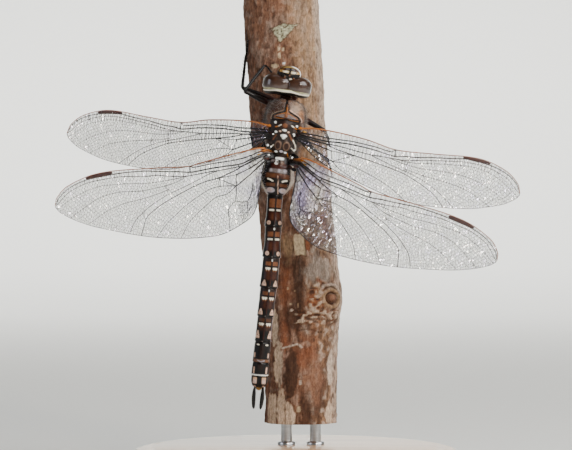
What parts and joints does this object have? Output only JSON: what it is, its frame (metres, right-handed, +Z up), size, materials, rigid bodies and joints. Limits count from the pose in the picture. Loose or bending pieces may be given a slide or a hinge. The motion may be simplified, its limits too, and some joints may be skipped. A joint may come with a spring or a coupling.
{
  "type": "dragonfly model",
  "caption": "Life-size still model of a brown hawker dragonfly clinging to a cut length of bare branch, held upright on a plain round display stand.",
  "frame": {"origin": "centre of the stand base's underside", "axes": "+Z up along the branch, the insect's head upwards; -Y out of the insect's back; +X to the insect's right"},
  "size_m": [0.0816, 0.06, 0.086],
  "materials": {
    "head_shell": "dark brown shell, satin",
    "face": "amber and cream shell with black marks, satin",
    "eye": "glossy brown, finely faceted",
    "antenna": "black bristle",
    "thorax_shell": "brown and black shell with pale spots and short hair",
    "abdomen_shell": "dark brown shell with cream and black marks, satin",
    "tail_plate": "black shell, satin",
    "wing": "clear glossy membrane with dark veins",
    "leg": "black shell, glossy, with fine spines",
    "bark": "rough dry bark",
    "stand_wood": "pale wood, satin lacquer",
    "stand_steel": "brushed steel"
  },
  "bodies": {
    "root": {"head": "head_shell", "neck": "head_shell", "face": "face", "eye_left": "eye", "eye_right": "eye", "antenna_left": "antenna", "antenna_right": "antenna", "thorax": "thorax_shell", "abdomen_1": "abdomen_shell", "abdomen_2": "abdomen_shell", "abdomen_3": "abdomen_shell", "abdomen_4": "abdomen_shell", "abdomen_5": "abdomen_shell", "abdomen_6": "abdomen_shell", "abdomen_7": "abdomen_shell", "abdomen_8": "abdomen_shell", "abdomen_9": "abdomen_shell", "abdomen_10": "abdomen_shell", "appendage_left": "tail_plate", "appendage_right": "tail_plate", "ovipositor": "tail_plate", "forewing_left": "wing", "forewing_right": "wing", "hindwing_left": "wing", "hindwing_right": "wing", "leg_front_left_femur": "leg", "leg_front_left_tibia": "leg", "leg_front_left_tarsus": "leg", "leg_front_right_femur": "leg", "leg_front_right_tibia": "leg", "leg_front_right_tarsus": "leg", "leg_middle_left_femur": "leg", "leg_middle_left_tibia": "leg", "leg_middle_left_tarsus": "leg", "leg_middle_right_femur": "leg", "leg_middle_right_tibia": "leg", "leg_middle_right_tarsus": "leg", "leg_hind_left_femur": "leg", "leg_hind_left_tibia": "leg", "leg_hind_left_tarsus": "leg", "leg_hind_right_femur": "leg", "leg_hind_right_tibia": "leg", "leg_hind_right_tarsus": "leg", "perch": "bark", "stand_base": "stand_wood", "stand_rod_left": "stand_steel", "stand_rod_right": "stand_steel"}
  },
  "joints": []
}
